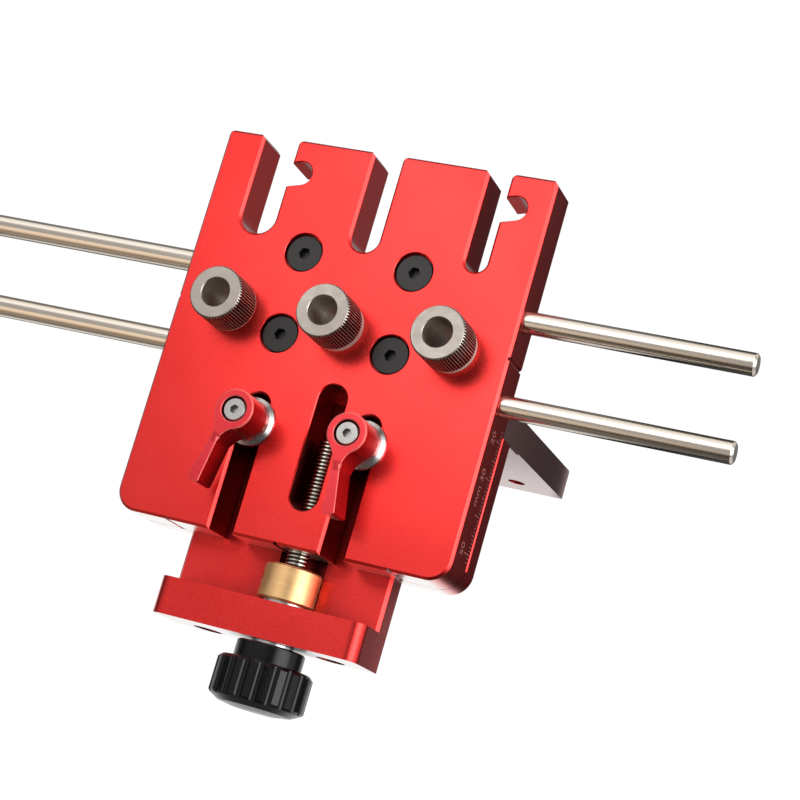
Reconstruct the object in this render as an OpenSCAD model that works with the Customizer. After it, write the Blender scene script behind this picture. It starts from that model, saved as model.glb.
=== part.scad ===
// Self centering doweling jig.
// A guide plate with three drill bushings rides on a carriage that carries the fence.
// The knob turns a trapped lead screw, which threads into the plate and sets the distance
// from the fence to the bushing row. Two ratchet levers clamp the plate to the carriage.
// Frame: the centre bushing's axis is Z, the bushing row lies along X, and Z = 0 is the
// front face of the guide plate. The modules draw each piece from the work face up, and
// in_frame() moves them down by the plate's thickness.

/* [Guide plate] */
// Width of the guide plate
plate_w = 96; // [94:0.5:104]
// Thickness of the guide plate
plate_t = 12; // [11.5:0.5:14]
// Distance from the bushing row to the finger tips
finger_reach = 49; // [46:1:58]
// Distance from the bushing row to the lower edge
plate_reach = 60; // [58:1:66]
// Chamfer round the front edges
edge_ch = 0.7; // [0.4:0.1:1]
// Radius of the two lower corners
corner_r = 6; // [4:0.5:8]
// Chamfer on the finger tips' corners
tip_ch = 1.2; // [0.5:0.1:2]
// Depth of the V marks on the bushing row and bushing centres
mark_depth = 0.6; // [0.3:0.1:0.8]

/* [Dowel slots] */
// Distance between bushing centres, and between slots
pitch = 32; // [31:0.5:34]
// Dowel that fits the first slot
dowel_a = 10; // [8:0.5:12]
// Dowel that fits the second slot
dowel_b = 8; // [6:0.5:10]
// Dowel that fits the third slot
dowel_c = 6; // [5:0.5:8]
// Free play of a dowel in its slot
dowel_play = 0.2; // [0.1:0.1:0.5]
// Distance from the bushing row to the slot floors
slot_floor = 21; // [19:0.5:24]
// Radius of the round hook in a slot wall
hook_r = 3.3; // [3:0.1:4]
// Distance from the bushing row to the hook's centre
hook_y = 39.7; // [38:0.1:41]
// Distance from the slot wall to the hook's centre
hook_in = 3.3; // [2.6:0.1:3.6]
// Angle at which a hook runs back toward the bushing row
hook_tilt = 15; // [0:1:20]
// Chamfer round a hook
hook_ch = 0.3; // [0.1:0.1:0.5]

/* [Bushings] */
// Bore of a drill bushing
bush_bore = 8; // [4:0.5:10]
// Diameter of the bushing shank
bush_shank = 14; // [13:0.5:14.5]
// Diameter of the knurled head
bush_head = 14.8; // [14.6:0.1:16]
// Height of the knurled head
bush_height = 10.8; // [8:0.2:12]
// Running fit of the shank in the plate, on the diameter
bush_fit = 0.06; // [0.04:0.02:0.12]
// How far the centre bushing stands proud
proud_b = 2.1; // [0:0.1:4]
// How far the right bushing stands proud
proud_c = 1.7; // [0:0.1:4]

/* [Rods] */
// Diameter of the guide rods
rod_d = 6; // [5:0.25:6.25]
// Distance of each rod from the bushing row
rod_y = 11.5; // [11.25:0.05:11.7]
// Height of the rod axis above the work face
rod_z = 7; // [6.5:0.1:7]
// Length of a rod
rod_len = 230; // [200:5:300]
// How far a rod sticks out of the right side of the plate
rod_out = 61.3; // [30:1:70]
// Running fit of a rod in the plate, on the diameter
rod_fit = 0.1; // [0.06:0.02:0.2]
// Diameter of the countersink at a rod's mouth
rod_mouth = 6.6; // [6.4:0.2:9]

/* [Rod lock screws] */
// Distance of the lock screws from the middle
lock_x = 16; // [15.5:0.25:17]
// Distance of a lock screw from its rod
lock_off = 6.5; // [6.5:0.1:7]
// Diameter of the screw head
lock_head = 10.3; // [9.5:0.1:10.4]
// Gap round the head in its counterbore
lock_gap = 0.25; // [0.15:0.05:0.4]
// Depth of the head below the plate's front
lock_sink = 0.9; // [0.5:0.1:0.9]
// Diameter of the screw thread
lock_thread = 5; // [4:0.5:5]

/* [Lead screw] */
// Distance of the lead screw from the middle
screw_x = 4.2; // [3:0.1:4.5]
// Height of the lead screw above the work face
screw_z = 4; // [3.8:0.1:5]
// Diameter of the lead screw
screw_d = 6; // [5:0.5:6.5]
// Length of the lead screw inward of the end bar
screw_in = 44.9; // [40:0.5:50]
// Running fit of the lead screw, on the diameter
screw_fit = 0.1; // [0.06:0.02:0.2]
// Width of the window over the lead screw
window_w = 8.2; // [7.5:0.1:9]
// Distance from the bushing row to the upper end of the window
window_top = 15.6; // [15.4:0.1:20]
// Chamfer round the window
window_ch = 0.3; // [0.1:0.1:1]
// Length of the threaded tongue below the window
tongue_len = 10; // [8:0.5:12]

/* [Lever slots] */
// Distance of the lever slots from the middle
lever_x = 16; // [15:0.25:20]
// Width of a lever slot
lever_slot_w = 6.6; // [6.6:0.1:8]
// Distance from the bushing row to the upper end of a lever slot
lever_slot_top = 22; // [20:0.5:22]

/* [Carriage] */
// Thickness of the carriage plate
carriage_t = 7.1; // [7:0.1:10]
// Running gap between the guide plate and the carriage
slide_gap = 0.3; // [0.1:0.1:0.5]
// Width of the carriage neck and the end bar
neck_w = 59; // [54:1:64]
// Chamfer along the carriage's front edges
carriage_ch = 0.8; // [0.4:0.1:1]
// Gap round the stop collar in the neck's pocket
pocket_gap = 0.5; // [0.4:0.1:1]
// Length of the pocket
pocket_len = 18.4; // [15:0.2:22]

/* [Fence] */
// Distance from the bushing row to the fence face
fence_y = 9.4; // [8:0.1:12]
// Thickness of the fence
fence_t = 8.6; // [8:0.1:10]
// Depth of the fence below the work face
fence_depth = 65.5; // [50:0.5:80]
// Extra thickness of the fence's upper pad
pad_t = 0.5; // [0.3:0.1:1]
// Depth of the pad below the work face
pad_depth = 15.6; // [12:0.2:20]
// Diameter of the holes for a longer wooden fence
fence_hole = 5; // [4:0.5:6]
// Distance of those holes from the middle
fence_hole_x = 37; // [30:0.5:42]
// Distance of those holes from the fence's lower edge
fence_hole_z = 11; // [8:0.5:16]
// Thread of the screws that hold the fence
fence_screw_d = 4; // [3:0.5:4]
// Length of the fence screws
fence_screw_len = 14; // [12:1:16]
// Distance of the inner fence screws from the middle
fence_screw_in = 13; // [10:0.5:18]
// Distance of the outer fence screws from the middle
fence_screw_out = 39; // [34:0.5:42]

/* [End bar] */
// Thickness of the end bar along the slide
bar_t = 10; // [8:0.5:12]
// Height of the bar's front above the work face
bar_top = 11; // [10:0.5:12]
// Radius of the bar's two front corners
bar_r = 3.8; // [2:0.2:5]
// Distance of the bar's screws from the middle
bar_screw_x = 18; // [14:0.5:22]
// Distance of the bar's screws below the work face
bar_screw_drop = 3.1; // [2.8:0.05:3.4]
// Thread of the bar's screws
bar_screw_d = 4; // [3:0.5:4]
// Length of the bar's screws under their heads
bar_screw_len = 14; // [10:1:16]
// Diameter of the screw heads
bar_head = 7; // [5.5:0.1:7.2]
// Diameter of the counterbores
bar_cbore = 8; // [7.4:0.1:8]

/* [Stop collar and washers] */
// Diameter of the brass collar
collar_d = 15.2; // [12:0.2:15.6]
// Length of the collar
collar_len = 9.4; // [7:0.2:10]
// Gap from the plate's lower edge to the collar
collar_gap = 4.2; // [4:0.1:8]
// Thickness of the washer inside the bar
collar_washer_t = 0.6; // [0.4:0.1:1.6]
// Thickness of the washer outside the bar
knob_washer_t = 0.8; // [0.6:0.1:1.2]
// Diameter of the washers
washer_d = 12; // [10:0.5:12]
// End play of the trapped screw
end_play = 0.1; // [0.05:0.01:0.2]
// Diameter of the collar's set screw
set_d = 4; // [3:0.5:4]
// Turn of the set screw from the left toward the front
set_turn = 28; // [0:1:80]

/* [Knob] */
// Diameter of the knob over the flutes
knob_d = 25.4; // [24:0.2:32]
// Diameter of the knob's neck
knob_neck = 18.2; // [16:0.2:22]
// Length of the knob's neck
neck_len = 4.8; // [2:0.2:6]
// Length of the fluted grip
grip_len = 9.4; // [8:0.2:14]
// Height of the domed end
dome_h = 2.2; // [1:0.1:3]
// Number of flutes
flutes = 20; // [12:1:24]
// Radius of a flute
flute_r = 1.2; // [0.8:0.1:1.6]

/* [Ratchet levers] */
// Distance from the bushing row to the levers at rest
lever_y = 30; // [29:0.5:36]
// Diameter of a lever's hub
hub_d = 10.8; // [10.4:0.1:12]
// Height of the hub's top above the plate's front
hub_top = 12.6; // [12.2:0.1:15]
// Diameter of the steel flange under the hub
flange_d = 13.5; // [12:0.1:15]
// Height of the steel flange
flange_h = 3.2; // [2.6:0.1:3.4]
// Length of a lever arm from the hub's axis
arm_len = 21.2; // [18:0.1:23]
// Width of a lever arm at its tip
arm_w = 3.3; // [2.8:0.1:5]
// Width of a lever arm at its neck
arm_neck_w = 2.1; // [1.8:0.1:2.6]
// Distance from the hub's axis to the neck
arm_neck = 9.6; // [9:0.1:11]
// How far the neck stands to one side of the arm
arm_side = 0.7; // [0:0.1:0.8]
// Height of a lever arm at its tip
arm_h = 8.6; // [6:0.1:8.8]
// Chamfer along the arm
arm_ch = 0.2; // [0.1:0.1:0.4]
// Drop of the arm below the hub's top
arm_drop = 0.3; // [0.2:0.1:0.6]
// Radius of the tip's lower corner
arm_tip_r = 1.5; // [0.8:0.1:2.5]
// Angle of the left arm outward from the slide
left_angle = 16; // [0:1:40]
// Angle of the right arm outward from the slide
right_angle = 3; // [0:1:40]
// Thread of the lever's stud
stud_d = 6; // [5:0.5:6]
// Diameter of the cap screw's head
cap_head = 6.2; // [5.5:0.1:6.4]
// Diameter of the recess round the cap screw
cap_bore = 7; // [6.8:0.1:7.4]
// How far a handle lifts off its ratchet
lift = 2; // [1.5:0.1:2.2]

/* [Hidden] */
$fn = 64;
eps = 0.01;
// free play of a fixed screw in its hole, on the diameter
hole_play = 0.1;
// gap under a seated face
seat_gap = 0.1;
// a hook's straight walls, from its centre to well inside the slot
hook_mouth = (hook_in + hook_r * sin(hook_tilt)) / cos(hook_tilt) + 0.8;
slots = [[-pitch, dowel_a + dowel_play], [0, dowel_b + dowel_play], [pitch, dowel_c + dowel_play]];
carriage_top = -slide_gap;
carriage_bottom = carriage_top - carriage_t;
carriage_mid = carriage_top - carriage_t / 2;
fence_back = fence_y + fence_t;
collar_y = plate_reach + collar_gap;
collar_end = collar_y + collar_len;
bar_y = collar_end + collar_washer_t + end_play;
bar_end = bar_y + bar_t;
knob_y = bar_end + end_play + knob_washer_t;
knob_len = neck_len + 1 + grip_len;
screw_tip = bar_y - screw_in;
screw_root = knob_y + neck_len + 1 + grip_len / 2;
pocket_w = 2 * sqrt(pow(collar_d / 2, 2) - pow(screw_z + slide_gap, 2)) + 2 * pocket_gap;
pocket_floor = screw_z - collar_d / 2 - pocket_gap;
// the head's cone stands this far off its rod, which sets the height of the rim above it
lock_clear = 0.08;
lock_rim = lock_off + plate_t - rod_z - sqrt(2) * (rod_d / 2 + lock_clear) - lock_head / 2 - lock_sink;
lock_cbore = lock_head + 2 * lock_gap;
lock_cone = (lock_head - lock_thread) / 2;
bar_cbore_depth = bar_screw_d + 0.5;
// free depth of a tapped hole beyond its screw's end
screw_hole_spare = 1;
// heights inside a lever, from the plate's front
flange_z = plate_t + seat_gap;
ratchet_z = flange_z + flange_h;
ratchet_h = 1.9;
web_z = ratchet_z + ratchet_h + 0.1;
web_t = 1;
hub_z = plate_t + hub_top;
handle_z = ratchet_z + 0.1;
arm_corner_r = 0.8;
// the waist's circles reach in to here, so that they cross the hub instead of grazing it
waist_hub = hub_d / 2 - 0.15;
// edge of the neck on a side, and the circle there that blends it into the hub
function waist_x(s) = arm_neck_w / 2 - s * arm_side;
function waist_r(s) = (pow(arm_neck, 2) + pow(waist_x(s), 2) - pow(waist_hub, 2)) / (2 * waist_hub - 2 * waist_x(s));
// share of the way to that circle's centre at which it touches the hub, with a little to spare
function waist_reach(s) = 1.02 * waist_hub / (waist_hub + waist_r(s));
cap_h = 2.1;
cap_z = hub_z - 0.4 - cap_h;

// ---- shared shapes ----

// brings a piece drawn from the work face up into the part's frame
module in_frame() {
    translate([0, 0, -plate_t])
        children();
}

// a straight run along +Y of the cutter that chamfers both top edges of a slot of width w
module slot_chamfer(w, y0, y1, ch = edge_ch) {
    translate([0, y1, plate_t])
        rotate([90, 0, 0])
            linear_extrude(y1 - y0)
                polygon([
                    [-w / 2 - ch - 1, 1],
                    [w / 2 + ch + 1, 1],
                    [w / 2, -ch],
                    [-w / 2, -ch]
                ]);
}

// the conical chamfer of a round hole of diameter d through the plate's front
module hole_chamfer(d, ch) {
    translate([0, 0, plate_t - ch])
        cylinder(h = ch + 1, d1 = d, d2 = d + 2 * ch + 2);
}

// a slot with a full radius at its floor, from the floor to beyond the open end
module open_slot(w, floor_y, open_y) {
    centre = floor_y + w / 2;
    translate([-w / 2, centre, -1])
        cube([w, open_y - centre + 1, plate_t + 2]);
    translate([0, centre, -1])
        cylinder(h = plate_t + 2, d = w);
    slot_chamfer(w, centre, open_y + 1);
    translate([0, centre, 0])
        hole_chamfer(w, edge_ch);
}

// cuts an edge along X back by ch, from a point ch below it; the wedge runs past both faces
module edge_wedge(len, ch) {
    translate([-len / 2, 0, 0])
        rotate([90, 0, 90])
            linear_extrude(len)
                polygon([[-1, -1], [ch + 1, ch + 1], [-1, ch + 1]]);
}

// a plate with two rounded corners at its lower end
module rounded_plate(w, y_top, y_low, z0, t, r) {
    translate([-w / 2, -y_low + r, z0])
        cube([w, y_low + y_top - r, t]);
    translate([-w / 2 + r, -y_low, z0])
        cube([w - 2 * r, r + 1, t]);
    for (s = [-1, 1])
        translate([s * (w / 2 - r), -y_low + r, z0])
            cylinder(h = t, r = r);
}

// cuts a front chamfer round the lower corners and along the sides of such a plate
module lower_chamfer(w, y_top, y_low, z, ch, r) {
    for (s = [-1, 1]) {
        translate([s * w / 2, -y_low + r + (y_low + y_top - r) / 2 + 0.5, z - ch])
            rotate([0, 0, s * 90])
                edge_wedge(y_low + y_top - r + 1, ch);
        intersection() {
            translate([s * (w / 2 - r), -y_low + r, z])
                rotate_extrude()
                    polygon([[r - ch, 0], [r + 2, ch + 2], [r + 2, -ch], [r, -ch]]);
            translate([s * (w / 2 - r) + (s < 0 ? -r - 3 : 0), -y_low - 3, z - 2])
                cube([r + 3, r + 3, 4]);
        }
    }
    translate([0, -y_low, z - ch])
        edge_wedge(w - 2 * r, ch);
}

// a V groove across an edge, running along Z
module mark(len) {
    rotate([0, 0, 45])
        cube([mark_depth * sqrt(2), mark_depth * sqrt(2), len], center = true);
}

// a hexagon socket of width across flats af
module socket(af, depth) {
    cylinder(h = depth, d = af / cos(30), $fn = 6);
}

// ---- guide plate ----

module guide_outline() {
    rounded_plate(plate_w, finger_reach, plate_reach, 0, plate_t, corner_r);
}

// the corner cut off a finger's tip at x, where the finger lies on the other side from s
module tip_clip(x, s) {
    translate([x, finger_reach - tip_ch, -1])
        linear_extrude(plate_t + 2)
            polygon([[s, -1], [-s * (tip_ch + 1), tip_ch + 1], [s, tip_ch + 1]]);
}

module lock_places() {
    for (x = [-lock_x, lock_x])
        for (y = [-rod_y, rod_y])
            translate([x, y + lock_off, plate_t - lock_sink])
                children();
}

// the room for one lock screw, drawn down from its head's face
module lock_cut() {
    translate([0, 0, -lock_rim - seat_gap])
        cylinder(h = lock_rim + seat_gap + lock_sink + 1, d = lock_cbore);
    translate([0, 0, -lock_rim - lock_cone - seat_gap])
        cylinder(h = lock_cone, d1 = lock_thread, d2 = lock_head);
    translate([0, 0, -plate_t + lock_sink + 0.8])
        cylinder(h = plate_t - lock_sink, d = lock_thread + hole_play);
    translate([0, 0, lock_sink - plate_t])
        hole_chamfer(lock_cbore, 0.2);
}

module guide_plate() {
    color("firebrick")
        difference() {
            guide_outline();
            lower_chamfer(plate_w, finger_reach, plate_reach, plate_t, edge_ch, corner_r);
            // finger tips
            translate([0, finger_reach, plate_t - edge_ch])
                rotate([0, 0, 180])
                    edge_wedge(plate_w + 2, edge_ch);
            for (s = [-1, 1]) {
                tip_clip(s * plate_w / 2, s);
                for (slot = slots)
                    tip_clip(slot[0] - s * slot[1] / 2, s);
            }
            // dowel slots
            for (s = slots)
                translate([s[0], 0, 0])
                    open_slot(s[1], slot_floor, finger_reach);
            for (s = [slots[0], slots[2]])
                translate([s[0] + s[1] / 2 + hook_in, hook_y, 0]) {
                    translate([0, 0, -1])
                        cylinder(h = plate_t + 2, r = hook_r);
                    hole_chamfer(2 * hook_r, hook_ch);
                    rotate([0, 0, 90 + hook_tilt]) {
                        translate([-hook_r, 0, -1])
                            cube([2 * hook_r, hook_mouth, plate_t + 2]);
                        slot_chamfer(2 * hook_r, 0, hook_mouth, hook_ch);
                    }
                }
            // bushing holes
            for (x = [-pitch, 0, pitch])
                translate([x, 0, -1])
                    cylinder(h = plate_t + 2, d = bush_shank + bush_fit);
            // rod bores with countersunk mouths
            for (y = [-rod_y, rod_y])
                translate([0, y, rod_z])
                    rotate([0, 90, 0]) {
                        cylinder(h = plate_w + 2, d = rod_d + rod_fit, center = true);
                        for (s = [0, 1])
                            mirror([0, 0, s])
                                translate([0, 0, plate_w / 2 - (rod_mouth - rod_d) / 2])
                                    cylinder(h = (rod_mouth - rod_d) / 2 + 1, d1 = rod_d, d2 = rod_mouth + 2);
                    }
            lock_places()
                lock_cut();
            // lever slots
            for (s = [-1, 1])
                translate([s * lever_x, 0, 0])
                    mirror([0, 1, 0])
                        open_slot(lever_slot_w, lever_slot_top, plate_reach);
            // window over the lead screw
            translate([screw_x, 0, 0]) {
                for (y = [window_top + window_w / 2, plate_reach - tongue_len - window_w / 2])
                    translate([0, -y, -1]) {
                        cylinder(h = plate_t + 2, d = window_w);
                        translate([0, 0, 1])
                            hole_chamfer(window_w, window_ch);
                    }
                translate([-window_w / 2, -plate_reach + tongue_len + window_w / 2, -1])
                    cube([window_w, plate_reach - tongue_len - window_top - window_w, plate_t + 2]);
                slot_chamfer(
                    window_w,
                    -plate_reach + tongue_len + window_w / 2,
                    -window_top - window_w / 2,
                    window_ch
                );
            }
            // thread for the lead screw
            translate([screw_x, -plate_reach + tongue_len + window_w / 2, screw_z])
                rotate([90, 0, 0])
                    cylinder(h = tongue_len + window_w, d = screw_d + screw_fit);
            // marks on the bushing row and the bushing centres
            for (s = [-1, 1])
                translate([s * plate_w / 2, 0, plate_t / 2])
                    mark(plate_t + 2);
            for (x = [-pitch, 0, pitch])
                translate([x, -plate_reach, plate_t / 2])
                    mark(plate_t + 2);
        }
}

// head face at the origin, pointing down
module lock_screw() {
    color("dimgray")
        difference() {
            rotate_extrude()
                polygon([
                    [0, 0],
                    [lock_head / 2 - 0.3, 0],
                    [lock_head / 2, -0.3],
                    [lock_head / 2, -lock_rim],
                    [lock_thread / 2, -lock_rim - lock_cone],
                    [lock_thread / 2, -plate_t + lock_sink + 1.4],
                    [lock_thread / 2 - 0.5, -plate_t + lock_sink + 0.9],
                    [0, -plate_t + lock_sink + 0.9]
                ]);
            translate([0, 0, -2])
                socket(3, 3);
        }
}

module lock_at(x, y) {
    translate([x, y + lock_off, plate_t - lock_sink])
        lock_screw();
}

module rod_lock_upper_left() {
    lock_at(-lock_x, rod_y);
}

module rod_lock_upper_right() {
    lock_at(lock_x, rod_y);
}

module rod_lock_lower_left() {
    lock_at(-lock_x, -rod_y);
}

module rod_lock_lower_right() {
    lock_at(lock_x, -rod_y);
}

// ---- bushings and rods ----

// a slip bushing whose head stands proud of the plate by the given distance
module bushing(x, proud) {
    mouth = 0.2;
    tip_chamfer = 0.15;
    color("slategray")
        translate([x, 0, plate_t + proud])
            rotate_extrude()
                polygon([
                    [bush_bore / 2, -plate_t + mouth],
                    [bush_bore / 2 + mouth, -plate_t],
                    [bush_shank / 2 - 0.4, -plate_t],
                    [bush_shank / 2, -plate_t + 0.4],
                    [bush_shank / 2, 0],
                    [bush_head / 2 - 0.2, 0],
                    [bush_head / 2, 0.2],
                    [bush_head / 2, bush_height - tip_chamfer],
                    [bush_head / 2 - tip_chamfer, bush_height],
                    [bush_bore / 2 + mouth, bush_height],
                    [bush_bore / 2, bush_height - mouth]
                ]);
}

module bushing_left() {
    bushing(-pitch, 0);
}

module bushing_centre() {
    bushing(0, proud_b);
}

module bushing_right() {
    bushing(pitch, proud_c);
}

module rod(y) {
    ch = 0.6;
    color("silver")
        translate([plate_w / 2 + rod_out - rod_len, y, rod_z])
            rotate([0, 90, 0])
                rotate_extrude()
                    polygon([
                        [0, 0],
                        [rod_d / 2 - ch, 0],
                        [rod_d / 2, ch],
                        [rod_d / 2, rod_len - ch],
                        [rod_d / 2 - ch, rod_len],
                        [0, rod_len]
                    ]);
}

module rod_upper() {
    rod(rod_y);
}

module rod_lower() {
    rod(-rod_y);
}

// ---- carriage, fence and end bar ----

module carriage_plate() {
    color("brown")
        difference() {
            union() {
                rounded_plate(plate_w, -fence_back, plate_reach, carriage_bottom, carriage_t, corner_r);
                translate([-neck_w / 2, -bar_y, carriage_bottom])
                    cube([neck_w, bar_y - plate_reach + corner_r, carriage_t]);
            }
            // front chamfers along the wide part and the neck
            for (s = [-1, 1]) {
                translate([s * plate_w / 2, (1 - fence_back - plate_reach + corner_r) / 2, carriage_top - carriage_ch])
                    rotate([0, 0, s * 90])
                        edge_wedge(plate_reach - corner_r - fence_back + 1, carriage_ch);
                translate([s * neck_w / 2, (-bar_y - 1 - plate_reach) / 2, carriage_top - carriage_ch])
                    rotate([0, 0, s * 90])
                        edge_wedge(bar_y + 1 - plate_reach, carriage_ch);
            }
            // pocket for the stop collar
            translate([screw_x - pocket_w / 2, -bar_y - 1, pocket_floor])
                cube([pocket_w, pocket_len + 1, carriage_t + 10]);
            // threads for the lever studs
            for (s = [-1, 1])
                translate([s * lever_x, -lever_y, carriage_bottom - 1])
                    cylinder(h = carriage_t + 2, d = stud_d + hole_play);
            // threads for the fence screws and the bar screws
            fence_screw_places()
                cylinder(h = fence_screw_len + screw_hole_spare, d = fence_screw_d + hole_play);
            for (s = [-1, 1])
                translate([s * bar_screw_x, -bar_end + bar_cbore_depth, -bar_screw_drop])
                    rotate([-90, 0, 0])
                        cylinder(h = bar_screw_len + screw_hole_spare, d = bar_screw_d + hole_play);
        }
}

// each place's +Z runs from the fence's face toward the carriage
module fence_screw_places() {
    for (x = [-fence_screw_out, -fence_screw_in, fence_screw_in, fence_screw_out])
        translate([x, -fence_y, carriage_mid])
            rotate([90, 0, 0])
                children();
}

module fence() {
    low_ch = 0.5;
    color("darkred")
        difference() {
            union() {
                translate([-plate_w / 2, -fence_back, -fence_depth])
                    cube([plate_w, fence_t, fence_depth - slide_gap]);
                translate([-plate_w / 2, -fence_back - pad_t, -pad_depth])
                    cube([plate_w, fence_t, pad_depth + carriage_bottom]);
            }
            for (i = [0, 1])
                translate([0, i == 0 ? -fence_y : -fence_back, -fence_depth + low_ch])
                    mirror([0, 1 - i, 0])
                        mirror([0, 0, 1])
                            edge_wedge(plate_w + 2, low_ch);
            fence_screw_places() {
                translate([0, 0, -1])
                    cylinder(h = fence_t + 2, d = fence_screw_d + 0.3);
                translate([0, 0, -1])
                    cylinder(h = fence_screw_d / 2 + 1.2, d1 = 2 * fence_screw_d + 2.4, d2 = fence_screw_d);
            }
            for (s = [-1, 1])
                translate([s * fence_hole_x, -fence_back - 1, -fence_depth + fence_hole_z])
                    rotate([-90, 0, 0])
                        cylinder(h = fence_t + 2, d = fence_hole);
        }
}

module fence_screws() {
    color("dimgray")
        fence_screw_places()
            difference() {
                rotate_extrude()
                    polygon([
                        [0, 0.4],
                        [fence_screw_d - 0.4, 0.4],
                        [fence_screw_d / 2, fence_screw_d / 2],
                        [fence_screw_d / 2, fence_screw_len],
                        [0, fence_screw_len]
                    ]);
                socket(2.5, 1.8);
            }
}

module end_bar() {
    height = bar_top - carriage_bottom;
    color("brown")
        difference() {
            translate([0, -bar_y, 0])
                rotate([90, 0, 0])
                    union() {
                        translate([-neck_w / 2, carriage_bottom, 0])
                            cube([neck_w, height - bar_r, bar_t]);
                        translate([-neck_w / 2 + bar_r, carriage_bottom, 0])
                            cube([neck_w - 2 * bar_r, height, bar_t]);
                        for (s = [-1, 1])
                            translate([s * (neck_w / 2 - bar_r), bar_top - bar_r, 0])
                                cylinder(h = bar_t, r = bar_r);
                    }
            translate([screw_x, -bar_y + 1, screw_z])
                rotate([90, 0, 0])
                    cylinder(h = bar_t + 2, d = screw_d + screw_fit);
            for (s = [-1, 1])
                translate([s * bar_screw_x, -bar_end, -bar_screw_drop])
                    rotate([-90, 0, 0]) {
                        translate([0, 0, -1])
                            cylinder(h = bar_t + 2, d = bar_screw_d + hole_play);
                        translate([0, 0, -1])
                            cylinder(h = bar_cbore_depth + 1, d = bar_cbore);
                    }
        }
}

module bar_screw(x) {
    color("dimgray")
        translate([x, -bar_end + bar_cbore_depth - seat_gap, -bar_screw_drop])
            rotate([90, 0, 0])
                difference() {
                    union() {
                        rotate_extrude()
                            polygon([
                                [0, 0],
                                [bar_head / 2, 0],
                                [bar_head / 2, bar_screw_d - 0.4],
                                [bar_head / 2 - 0.4, bar_screw_d],
                                [0, bar_screw_d]
                            ]);
                        translate([0, 0, -bar_screw_len])
                            cylinder(h = bar_screw_len + 1, d = bar_screw_d);
                    }
                    translate([0, 0, bar_screw_d - 2.6])
                        socket(3, 3);
                }
}

module bar_screw_left() {
    bar_screw(-bar_screw_x);
}

module bar_screw_right() {
    bar_screw(bar_screw_x);
}

// ---- lead screw, collar and knob ----

// +Z of the children runs from the bushing row toward the knob, along the screw
module on_screw(y) {
    translate([screw_x, -y, screw_z])
        rotate([90, 0, 0])
            children();
}

module lead_screw() {
    ch = 0.8;
    len = screw_root - screw_tip;
    color("silver")
        on_screw(screw_tip)
            rotate_extrude()
                polygon([
                    [0, 0],
                    [screw_d / 2 - ch, 0],
                    [screw_d / 2, ch],
                    [screw_d / 2, len],
                    [0, len]
                ]);
}

module stop_collar() {
    ch = 0.5;
    color("goldenrod")
        difference() {
            on_screw(collar_y)
                rotate_extrude()
                    polygon([
                        [(screw_d + hole_play) / 2, 0],
                        [collar_d / 2 - ch, 0],
                        [collar_d / 2, ch],
                        [collar_d / 2, collar_len - ch],
                        [collar_d / 2 - ch, collar_len],
                        [(screw_d + hole_play) / 2, collar_len]
                    ]);
            on_screw(collar_y + collar_len / 2)
                rotate([0, -90, -set_turn])
                    cylinder(h = collar_d, d = set_d + hole_play);
        }
}

module collar_set_screw() {
    start = screw_d / 2 + 0.1;
    end = collar_d / 2 - 0.6;
    color("dimgray")
        on_screw(collar_y + collar_len / 2)
            rotate([0, -90, -set_turn])
                difference() {
                    translate([0, 0, start])
                        cylinder(h = end - start, d = set_d);
                    translate([0, 0, end - 1.6])
                        socket(2, 2);
                }
}

module washer(t) {
    color("gainsboro")
        difference() {
            cylinder(h = t, d = washer_d);
            translate([0, 0, -1])
                cylinder(h = t + 2, d = screw_d + 0.4);
        }
}

module collar_washer() {
    on_screw(collar_end)
        washer(collar_washer_t);
}

module knob_washer() {
    on_screw(knob_y - knob_washer_t)
        washer(knob_washer_t);
}

module knob() {
    shoulder = neck_len + 1;
    color("#1c1c1e")
        on_screw(knob_y)
            difference() {
                rotate_extrude()
                    polygon([
                        [0, 0],
                        [knob_neck / 2 - 0.4, 0],
                        [knob_neck / 2, 0.4],
                        [knob_neck / 2, neck_len],
                        [knob_d / 2 - 1, neck_len],
                        [knob_d / 2, shoulder],
                        [knob_d / 2, knob_len - 0.6],
                        [knob_d / 2 - 0.6, knob_len],
                        [knob_d / 2 - 3, knob_len + dome_h * 0.6],
                        [knob_d / 2 - 7, knob_len + dome_h * 0.9],
                        [0, knob_len + dome_h]
                    ]);
                translate([0, 0, -1])
                    cylinder(h = screw_root - knob_y + 1.4, d = screw_d + hole_play);
                for (i = [0:flutes - 1])
                    rotate([0, 0, i * 360 / flutes])
                        translate([knob_d / 2 + flute_r * 0.45, 0, neck_len - 1])
                            cylinder(h = knob_len + dome_h, r = flute_r, $fn = 24);
            }
}

// ---- ratchet levers ----

// stands a lever's children on its axis, turned outward by the angle
module lever_place(side, angle) {
    translate([side * lever_x, -lever_y, 0])
        rotate([0, 0, side * angle])
            children();
}

// a lever's side view, seen along its width, with the lower corner of the tip rounded
module arm_profile() {
    low = hub_z - arm_h;
    wide = hub_d + 2;
    translate([wide / 2, 0, 0])
        rotate([90, 0, -90])
            linear_extrude(wide)
                polygon([
                    [0, handle_z],
                    [hub_d / 2 + 1, handle_z],
                    [hub_d / 2 + 4, low],
                    [arm_len - arm_tip_r, low],
                    [arm_len, low + arm_tip_r],
                    [arm_len, hub_z - arm_drop - arm_ch],
                    [arm_len - arm_ch, hub_z - arm_drop],
                    [arm_neck + 0.3, hub_z - arm_drop],
                    [arm_neck - 2.1, hub_z],
                    [0, hub_z]
                ]);
    translate([-wide / 2, -arm_len + arm_tip_r, low + arm_tip_r])
        rotate([0, 90, 0])
            cylinder(h = wide, r = arm_tip_r);
}

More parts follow.
